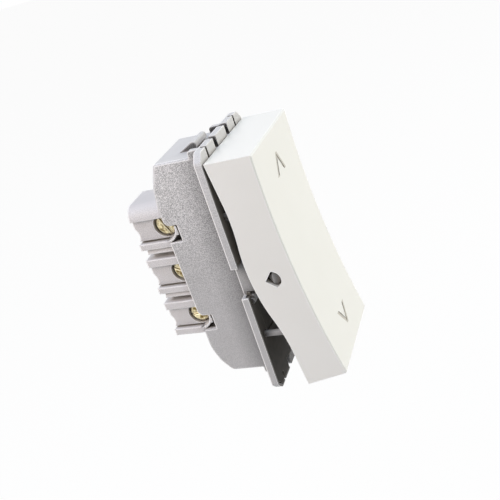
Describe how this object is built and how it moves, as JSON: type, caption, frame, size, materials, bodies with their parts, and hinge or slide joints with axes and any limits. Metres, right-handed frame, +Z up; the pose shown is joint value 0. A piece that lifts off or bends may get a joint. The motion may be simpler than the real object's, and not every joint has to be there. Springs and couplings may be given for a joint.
{
  "type": "modular two-way rocker switch",
  "caption": "One-module two-way wall switch: a dished rocker on side pivots tips a see-saw contact; three side screws clamp wires entered from the rear.",
  "frame": {"origin": "centre of the flange's rear face, where the module seats on its grid plate", "axes": "+Z up towards the end marked with the upward arrow, -Y out of the wall at the rocker, +Y into the wall box at the wire entries, X across the width; the terminal screws face -X"},
  "size_m": [0.0222, 0.0333, 0.0468],
  "materials": {
    "white_plastic": "moulded white urea, fine satin gloss",
    "grey_plastic": "moulded silver-grey polycarbonate with a fine sparkle",
    "base_plastic": "moulded light grey polycarbonate",
    "black_plastic": "black moulded insulating plate",
    "brass_screw": "turned brass, slotted head",
    "brass_cage": "pressed and tapped brass",
    "contact_brass": "stamped brass strip",
    "silver_tip": "riveted silver alloy contact tip",
    "spring_steel": "drawn spring wire"
  },
  "bodies": {
    "body": {"housing": "grey_plastic", "inner_plate": "black_plastic", "terminal_base": "base_plastic", "common_contact": "contact_brass", "fixed_contact_top": "contact_brass", "fixed_contact_bottom": "contact_brass", "fixed_tip_top": "silver_tip", "fixed_tip_bottom": "silver_tip"},
    "rocker": {"rocker": "white_plastic", "plunger_spring": "spring_steel"},
    "plunger": {"plunger": "grey_plastic"},
    "seesaw": {"moving_contact": "contact_brass", "moving_tip_top": "silver_tip", "moving_tip_bottom": "silver_tip"},
    "screw_top": {"terminal_screw_top": "brass_screw"},
    "cage_top": {"terminal_cage_top": "brass_cage"},
    "screw_middle": {"terminal_screw_middle": "brass_screw"},
    "cage_middle": {"terminal_cage_middle": "brass_cage"},
    "screw_bottom": {"terminal_screw_bottom": "brass_screw"},
    "cage_bottom": {"terminal_cage_bottom": "brass_cage"}
  },
  "joints": [
    {"name": "rocker_pivot", "type": "hinge", "parent": "body", "child": "rocker", "pos_m": [0, -0.00658, 0], "axis": [1, 0, 0], "range_deg": [0, 14]},
    {"name": "plunger_slide", "type": "slide", "parent": "rocker", "child": "plunger", "axis": [0, -0.9925, 0.1219], "range_m": [0, 0.0008], "stiffness_N_per_m": 300, "springref_m": -0.0005, "deforming": ["plunger_spring"]},
    {"name": "seesaw_pivot", "type": "hinge", "parent": "body", "child": "seesaw", "pos_m": [0, 0.006, 0], "axis": [1, 0, 0], "range_deg": [-16.8, 0]},
    {"name": "cage_slide_top", "type": "slide", "parent": "body", "child": "cage_top", "axis": [-1, 0, 0], "range_m": [0, 0.001]},
    {"name": "screw_turn_top", "type": "hinge", "parent": "body", "child": "screw_top", "pos_m": [0, 0.0124, 0.01015], "axis": [1, 0, 0], "range_deg": [0, 720.01]},
    {"name": "cage_slide_middle", "type": "slide", "parent": "body", "child": "cage_middle", "axis": [-1, 0, 0], "range_m": [0, 0.001]},
    {"name": "screw_turn_middle", "type": "hinge", "parent": "body", "child": "screw_middle", "pos_m": [0, 0.0124, 0.0009], "axis": [1, 0, 0], "range_deg": [0, 720.01]},
    {"name": "cage_slide_bottom", "type": "slide", "parent": "body", "child": "cage_bottom", "axis": [-1, 0, 0], "range_m": [0, 0.001]},
    {"name": "screw_turn_bottom", "type": "hinge", "parent": "body", "child": "screw_bottom", "pos_m": [0, 0.0124, -0.00835], "axis": [1, 0, 0], "range_deg": [0, 720.01]}
  ],
  "couplings": [
    {"joint": "seesaw_pivot", "follows": "rocker_pivot", "ratio": -1.2},
    {"joint": "screw_turn_top", "follows": "cage_slide_top", "rad_per_m": 12566},
    {"joint": "screw_turn_middle", "follows": "cage_slide_middle", "rad_per_m": 12566},
    {"joint": "screw_turn_bottom", "follows": "cage_slide_bottom", "rad_per_m": 12566}
  ]
}
